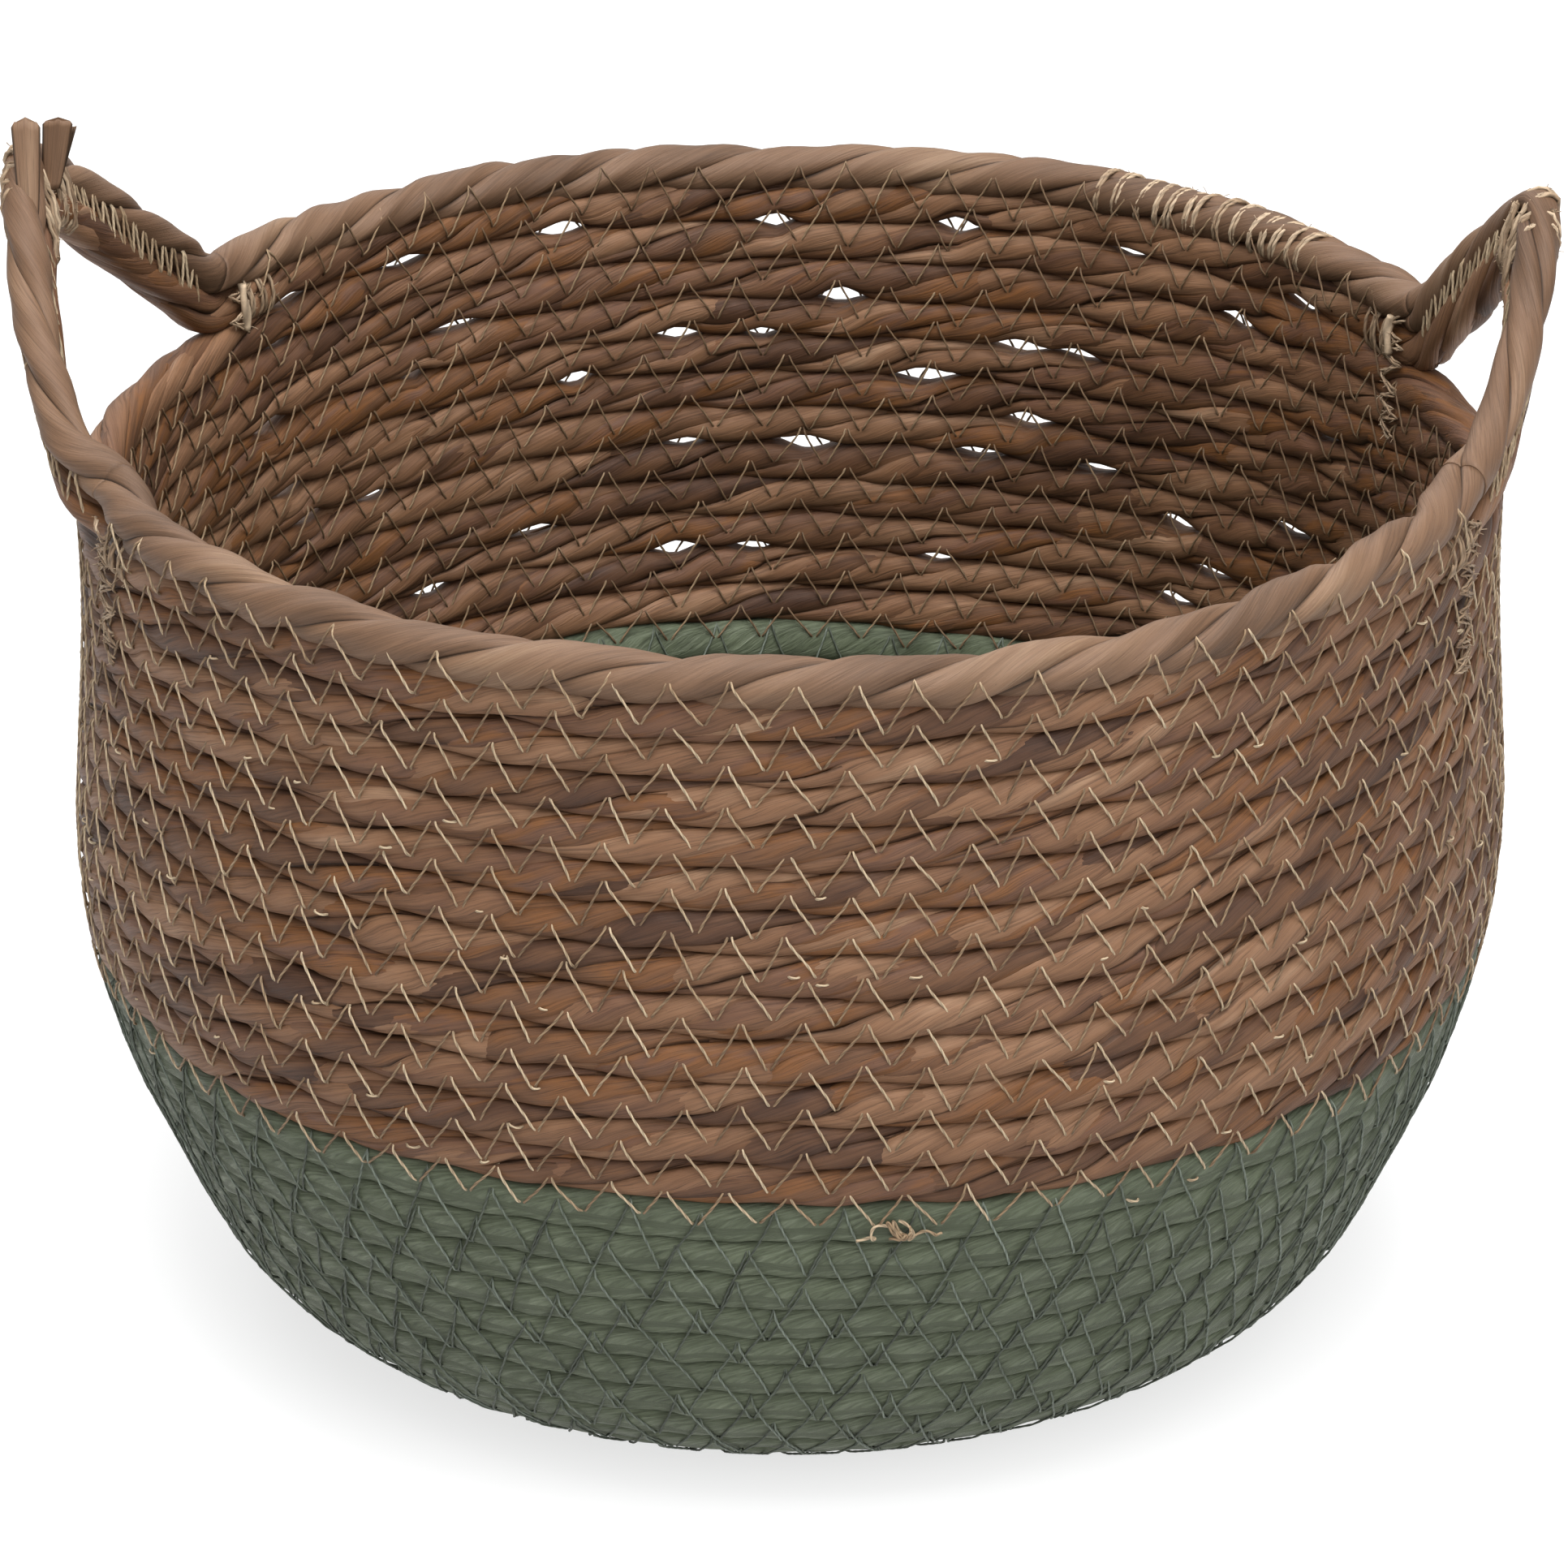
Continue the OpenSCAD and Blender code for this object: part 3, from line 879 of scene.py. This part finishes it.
def paper_start():
    """The tight curl of rope that the coil starts from."""
    mesh = Mesh()
    rng = seeded("paper_start")
    paper_rope(mesh, TURNS + 1, rng)
    radius, middle, half_height, sides = 3.1, 3.9, 3.3, 20
    level = np.linspace(-1, 1, 13)[:, None]
    around = round_section(sides)
    r = radius * np.sqrt(np.clip(1 - np.abs(level) ** 3, 0.002, 1)) * (1 + 0.05 * np.cos(3 * around))
    z = middle + half_height * level + 0 * around
    points = np.stack([r * np.cos(around), r * np.sin(around), z], axis=-1)
    grain = vectors(4 * around, 3 * level, 7 + 0 * level)
    mesh.tube(points, 0.5, grain, 0.2)
    mesh.build("paper_start", PAPER, "paper_centre")


# ---- the rows of stitches ----

# Radius, tones of rising and falling legs, and points along a leg. The darker tone on rising legs is painted
# shade, and the inner rows' darker tones are painted shade on the inside face.
OUTER_STITCH = dict(radius=0.25, tint=(0.34, 0.69), samples=20)
INNER_STITCH = dict(radius=0.23, tint=(0.08, 0.34), samples=12)
TAN_PERIOD = 11.5  # length of one stitch along the row
TAN_REACH = 5.3  # of a tip from its groove
BORDER_REACH = 4.4  # the same where seagrass meets paper
TAN_PROUD = 4.35  # of the thread from the middle of the wall
RIM_PROUD = 5.1  # the same under the rim cord
SAGE_PERIOD = 13.6
SAGE_REACH = 8.6
SAGE_PROUD = (4.2, -4.1)  # outside and inside
SAGE_STRAY = 1.2


def tan_sewing():
    """One row of zigzag in each groove of the seagrass. The top two rows stop at the handles."""
    arcs = ((LEFT_FRONT + 4, 360 + RIGHT_FRONT - 4), (RIGHT_BACK + 4, LEFT_BACK - 5))
    for groove in range(SEAGRASS_TURNS + 1):
        name = f"tan_stitches_{groove:02d}"
        rng = seeded(name)
        mesh = Mesh()
        reach = TAN_REACH if groove < SEAGRASS_TURNS else BORDER_REACH
        proud = TAN_PROUD if groove else RIM_PROUD
        for start, end in arcs if groove < 2 else ((0.0, 360.0),):
            for height, look in ((proud, OUTER_STITCH), (-proud, INNER_STITCH)):
                zigzag(mesh, rng, groove, 1.0, TAN_PERIOD, reach, height, start=start, end=end, **look)
        mesh.build(name, TAN_THREAD)


def sage_sewing():
    """Stitches two turns tall, so that each turn of paper is crossed by two rows of them."""
    for groove in range(SEAGRASS_TURNS + 1, TURNS):
        name = f"sage_stitches_{groove:02d}"
        rng = seeded(name)
        mesh = Mesh()
        for height, samples in zip(SAGE_PROUD, (22, 14)):
            # The darker tone on rising legs is painted shade.
            zigzag(
                mesh, rng, groove, SAGE_STRAY, SAGE_PERIOD, SAGE_REACH, height,
                radius=0.23, tint=(0.3, 0.65), samples=samples,
            )
        mesh.build(name, SAGE_THREAD)


# ---- jute, cut ends and loose threads ----

HAIR_RADIUS = 0.09
HAIR_TONE = 0.6
HAIR_SPREAD = 0.9  # how far hairs lean from straight out
HAIR_CURL = (0.2, 0.6)


def hairs(mesh, rng, path, middle, count, length):
    """Short fibres that stand off random places of a path and curl."""
    picks = rng.integers(0, len(path), count)
    away = path[picks] - middle[picks]
    away /= np.linalg.norm(away, axis=1)[:, None] + TINY
    t = np.linspace(0, 1, 5)[:, None]
    for root, direction in zip(path[picks], away):
        aim = direction + rng.normal(0, HAIR_SPREAD, 3)
        aim /= np.linalg.norm(aim)
        curl = np.cross(aim, rng.normal(0, 1, 3)) * rng.uniform(*HAIR_CURL)
        reach = length * rng.uniform(0.4, 1.0)
        hair = root + reach * (aim * t + curl * t**2)
        hair[:, 2] = np.maximum(hair[:, 2], 0.2)
        tone = HAIR_TONE + rng.uniform(-0.2, 0.25)
        thread(mesh, hair, HAIR_RADIUS, tone, rng, sides=4, facing=np.cross(aim, curl))


def whipping():
    """Two strands of jute wound openly round the rim cord at the back."""
    name = "jute_whipping"
    rng = seeded(name)
    mesh = Mesh()
    start, end = (RIM_LOOP.at(degrees) for degrees in WHIPPING)
    winds, apart, reach, radius = 14, 0.85, 4.9, 0.42
    t = np.linspace(0, 1, winds * 26)
    for strand in range(2):
        s = start + (end - start) * (t + 0.016 * np.sin(TURN * 2.3 * t) + 0.010 * np.sin(TURN * 6.1 * t))
        s = s + apart * strand + 0.3 * np.sin(TURN * 4.4 * t + strand)
        angle = TURN * winds * t
        size = reach + ripple(rng, s, 0.10, 5, 20)
        path = RIM_LOOP.place(s, size * np.cos(angle), size * np.sin(angle))
        thread(mesh, path, radius, 0.75 + ripple(rng, s, 0.15, 5, 30)[:, None], rng, twist=3.2)
        hairs(mesh, rng, path, RIM_LOOP.place(s, 0 * s, 0 * s), 30, 1.4)
    mesh.build(name, JUTE, "rim_whipping")


def lashing(name, root, side, node, long, strap):
    """Twine wound over the first turn beside a root, with crossed stitches down the wall under it, and if
    strap has a length, a broad strand that hangs down inside."""
    rng = seeded(name)
    mesh = Mesh()
    winds, first, spread, beside = 5, 3.0, 4.2, 2.4
    t = np.linspace(0, 1, winds * 28)
    theta = np.radians(root + side * (first + spread * t + 0.25 * np.sin(TURN * 2.7 * t)))
    angle = TURN * winds * t
    path = wall(theta, (PITCH / 2 - 5.3 * np.sin(angle)) / PITCH, 4.9 * squared(np.cos(angle), 0.75))
    thread(mesh, path, 0.38, 0.55, rng, twist=3.0)
    hairs(mesh, rng, path, wall(theta, 0.5, 0 * angle), 30, 1.6)
    for face, height in ((1, 4.75), (-1, -4.6)):
        for layer in range(3):
            legs = int(long / 2.6)
            corner = np.arange(legs + 1)
            fall = corner / legs * long - 1 + rng.uniform(-1.2, 1.2, legs + 1)
            shift = np.where(corner % 2 == 0, -1.0, 1.0) * rng.uniform(2.0, 4.8, legs + 1)
            t = np.linspace(0, 1, 9, endpoint=False)[None, :]
            n = (fall[:-1, None] + np.diff(fall)[:, None] * t) / PITCH
            away = shift[:-1, None] + np.diff(shift)[:, None] * t
            theta = math.radians(root + side * beside) + away / RIM_RADIUS
            out = height + face * (0.12 * layer - 0.9 * np.exp(-((np.minimum(t, 1 - t) * 8) ** 2)))
            path = wall(theta, n, out).reshape(-1, 3)
            thread(mesh, path, 0.27, rng.uniform(0.4, 0.8), rng)
            hairs(mesh, rng, path, wall(theta, n, 0 * out).reshape(-1, 3), int(long * 0.8), 1.6)
    if strap:
        t = np.linspace(0, 1, 14)
        theta = math.radians(root + side * beside) + 0.002 * np.sin(5 * t)
        path = wall(theta, (strap * t - 1.0) / PITCH, -5.3 + 0.3 * np.cos(6 * t))
        thread(mesh, path, 0.95, 0.8, rng, twist=9.0)
    mesh.build(name, JUTE, node)


def lashings():
    for name, root, side, long, strap in (
        ("left_front_lashing", LEFT_FRONT, 1, 30, 0), ("left_back_lashing", LEFT_BACK, -1, 12, 11),
        ("right_front_lashing", RIGHT_FRONT, -1, 34, 0), ("right_back_lashing", RIGHT_BACK, 1, 26, 8),
    ):
        lashing(name.replace("lashing", "binding_twine"), root, side, name, long, strap)


def both_cords(degrees):
    """The middle of a handle's two cords, the way up between them, half their distance and the way out."""
    upper = np.array([RIM_LOOP.place(RIM_LOOP.at(a), 0.0, 0.0) for a in degrees])
    lower = np.array([FIRST_LOOP.place(FIRST_LOOP.at(a), 0.0, 0.0) for a in degrees])
    gap = np.linalg.norm(upper - lower, axis=1)[:, None]
    out = np.array([RIM_LOOP.sample(RIM_LOOP.outward, RIM_LOOP.at(a)) for a in degrees])
    return (upper + lower) / 2, (upper - lower) / gap, gap / 2, out


def handle_binding(name, handle, start, end, winds, node):
    """Hairy jute wound loosely round both cords at the top of a handle."""
    rng = seeded(name)
    mesh = Mesh()
    reach, above, layer_step, radius = 4.3, 4.2, 0.35, 0.46
    for layer in range(2):
        t = np.linspace(0, 1, winds * 26)
        degrees = start + (end - start) * (0.5 - 0.5 * np.cos(math.pi * (1 + layer) * t))
        middle, up, half, out = both_cords(degrees)
        angle = (TURN * winds * t)[:, None]
        out_reach = (reach + layer_step * layer) * squared(np.cos(angle), 0.7)
        path = middle + out * out_reach + up * (half + above + layer_step * layer) * np.sin(angle)
        path = path + 0.25 * np.stack([np.sin(9.7 * angle[:, 0]), np.cos(7.3 * angle[:, 0]), 0 * t], axis=1)
        tone = 0.6 + ripple(rng, t * 60, 0.15, 5, 30)[:, None]
        thread(mesh, path, radius, tone, rng, twist=3.0, facing=out)
        hairs(mesh, rng, path, middle, 60, 1.4)
    mesh.build(name, JUTE, node, handle)


def handle_sewing(name, handle, stretches):
    """Close zigzag between a handle's two cords, on both faces."""
    rng = seeded(name)
    mesh = Mesh()
    height, dip, radius = 3.75, 1.4, 0.3
    for start, end, legs in stretches:
        for face in (1, -1):
            corner = np.arange(legs + 1)
            degrees = start + (end - start) * (corner + rng.uniform(-0.25, 0.25, legs + 1)) / legs
            middle, up, half, out = both_cords(degrees)
            side = np.where(corner % 2 == 0, -1, 1)[:, None]
            tips = middle + up * (side * (half + rng.uniform(-1.0, 1.4, (legs + 1, 1))))
            t = np.linspace(0, 1, 12, endpoint=False)[None, :, None]
            line = tips[:-1, None] + np.diff(tips, axis=0)[:, None] * t
            lift = height - dip * np.exp(-((np.minimum(t, 1 - t) * 9) ** 2))
            path = (line + face * lift * out[:-1, None]).reshape(-1, 3)
            thread(mesh, path, radius, rng.uniform(0.5, 0.7), rng, facing=face * out.mean(0))
    mesh.build(name, TAN_THREAD, body=handle, bends=True)


def cut_end(name, degrees, foot, tip, node, half_width, fan):
    """A cut end of the cord that stands up out of the left handle's binding: leaves one behind another. foot
    and tip are measured from the cord's middle, and fan is each leaf's turn past the one in front."""
    rng = seeded(name)
    mesh = Mesh()
    middle = RIM_LOOP.place(RIM_LOOP.at(degrees), 0.0, 0.0)
    foot, tip = middle + foot, middle + tip
    across = np.array((1.0, 0.0, 0.0))
    back = np.cross(tip - foot, across)
    back /= np.linalg.norm(back)
    t = np.linspace(0, 1, 12)[:, None, None]
    x = LEAF_X[0][None, :, None]
    top = LEAF_IS_TOP[0][None, :, None]
    for layer in range(3):
        half = (half_width - 0.3 * layer) * (0.55 + 0.45 * t**0.7)
        crown = np.where(top > 0, 0.9 * (1 - np.abs(x) ** 2.2), -0.35) + 0.12 * np.cos(7 * x + layer)
        cut = 1 - 0.07 * layer + 0.035 * np.cos(2.4 * x + 2 * layer) + 0.02 * np.cos(9 * x + layer)
        reach = (tip - foot) * cut * t
        points = foot + reach + across * (half * x + fan * layer * t)
        points = points + back * (1.1 * layer - crown + 0.5 * np.sin(2.6 * t + layer))
        along = np.linalg.norm(tip - foot) * t[..., 0] + 0 * x[..., 0]
        grain = vectors(along, half_width * x[..., 0], rng.uniform(0, UNLIKE))
        # edge rises towards each leaf's sides, where the material paints shade along its edges.
        mesh.tube(points, rng.uniform(0.45, 0.75), grain, np.abs(x[..., 0]) + 0 * along)
    mesh.build(name, RIM_LEAF, node, "left_handle")


def knot(mesh, rng):
    """Three tails of a tied-off knot on the front, at the colour change."""
    middle, turn, proud = math.radians(-81.5), 12.45, 5.0
    for tail in range(3):
        t = np.linspace(0, 1, 70)
        turns = 1.4 + 0.5 * tail
        x = (3.4 - tail) * np.sin(TURN * turns * t + tail) * (1 - 0.5 * t) + (tail - 1) * 9 * t**2
        y = 1.9 * np.cos(TURN * turns * t * 1.5 + tail) * (1 - t) - 1.5 * t + 1.2 * np.sin(5 * t + tail) * t
        lift = proud + 0.7 * np.sin(TURN * 2 * t + tail)
        path = wall(middle + x / radius_at(turn), turn - y / PITCH, lift)
        thread(mesh, path, 0.3, 0.6, rng)


LOOSE_ENDS = 110


def loose_threads():
    """The knot, and short ends of thread left in the sewing."""
    name = "loose_threads"
    rng = seeded(name)
    mesh = Mesh()
    knot(mesh, rng)
    for _ in range(LOOSE_ENDS):
        groove = rng.integers(2, SEAGRASS_TURNS + 1)
        t = np.linspace(0, 1, 7)
        x = (t - 0.5) * rng.uniform(1.8, 3.6)
        n = groove - rng.choice([-1, 1]) * rng.uniform(0.5, 0.62) + rng.uniform(-0.06, 0.06) * t
        theta = rng.uniform(0, TURN) + x / radius_at(groove)
        path = wall(theta, n, 4.55 - 1.2 * np.abs(2 * t - 1) ** 3)
        thread(mesh, path, 0.24, rng.uniform(0.7, 1.0), rng)
    mesh.build(name, TAN_THREAD)


def jute_and_ends():
    whipping()
    lashings()
    handle_binding("left_top_twine", "left_handle", 172.5, 180.0, 8, "left_handle_binding")
    handle_binding("right_top_twine", "right_handle", 4.0, -1.0, 5, "right_handle_binding")
    handle_sewing("left_handle_stitches", "left_handle", ((154, 172, 26), (181, 198, 18)))
    handle_sewing("right_handle_stitches", "right_handle", ((-17, -2, 18), (4, 17, 20)))
    cut_end(
        "left_cut_end_front", 180.0, (1.4, -3.4, -3.0), (0.7, 4.0, 17.2), "left_handle_front_end",
        half_width=3.0, fan=0.2,
    )
    cut_end(
        "left_cut_end_back", 177.5, (5.5, 0.5, -3.0), (7.3, 1.2, 11.3), "left_handle_back_end",
        half_width=3.1, fan=0.7,
    )
    loose_threads()


seagrass_turns()
first_turn_and_lower_cords()
rim_and_upper_cords()
paper_turns()
paper_start()
tan_sewing()
sage_sewing()
jute_and_ends()

# ---- the studio ----

CAMERA_PLACE = (0.0, -1.431, 0.7684)
CAMERA_ELEVATION = 24.78
CAMERA_LENS = 171.07
CAMERA_SHIFT = -0.0023
WHITE = (1, 1, 1, 1)
FLOOR_HALF = 12.0
FLOOR_TONE = (0.3, 0.3, 0.302, 1)
FLOOR_GLOW = 0.72
SKY_GLOW = 0.45
LIT_HEIGHT = 0.1  # of the point that every light faces
# Name, place, size and power of each light
LIGHTS = (
    ("key_light", (0.5, -1.5, 2.0), 2.4, 62),
    ("top_light", (0.05, -0.3, 1.3), 0.9, 21),
    ("back_light", (-0.5, 1.6, 1.7), 2.0, 32),
)


def put_in_scene(name, data):
    thing = bpy.data.objects.new(name, data)
    bpy.context.scene.collection.objects.link(thing)
    return thing


def camera():
    eye = put_in_scene("camera", bpy.data.cameras.new("camera"))
    eye.location = CAMERA_PLACE
    eye.rotation_euler = (math.radians(90 - CAMERA_ELEVATION), 0, 0)
    eye.data.lens = CAMERA_LENS
    eye.data.shift_x = CAMERA_SHIFT
    bpy.context.scene.camera = eye


def floor():
    ground = put_in_scene("floor", bpy.data.meshes.new("floor"))
    half = FLOOR_HALF
    ground.data.from_pydata(
        [(-half, -half, 0), (half, -half, 0), (half, half, 0), (-half, half, 0)], [], [(0, 1, 2, 3)]
    )
    paint = Shader(
        "floor", Roughness=0.9, Specular_IOR_Level=0.1,
        Base_Color=FLOOR_TONE, Emission_Color=WHITE, Emission_Strength=FLOOR_GLOW,
    )
    ground.data.materials.append(paint.material)


def sky_and_lights():
    world = bpy.data.worlds.new("studio")
    world.use_nodes = True
    background = world.node_tree.nodes["Background"]
    background.inputs["Color"].default_value = WHITE
    background.inputs["Strength"].default_value = SKY_GLOW
    bpy.context.scene.world = world
    for name, place, size, power in LIGHTS:
        light = bpy.data.lights.new(name, "AREA")
        light.size = size
        light.energy = power
        lamp = put_in_scene(name, light)
        lamp.location = place
        toward = -lamp.location
        toward.z += LIT_HEIGHT
        lamp.rotation_euler = toward.to_track_quat("-Z", "Y").to_euler()


camera()
floor()
sky_and_lights()
bpy.context.scene.view_settings.view_transform = "Standard"
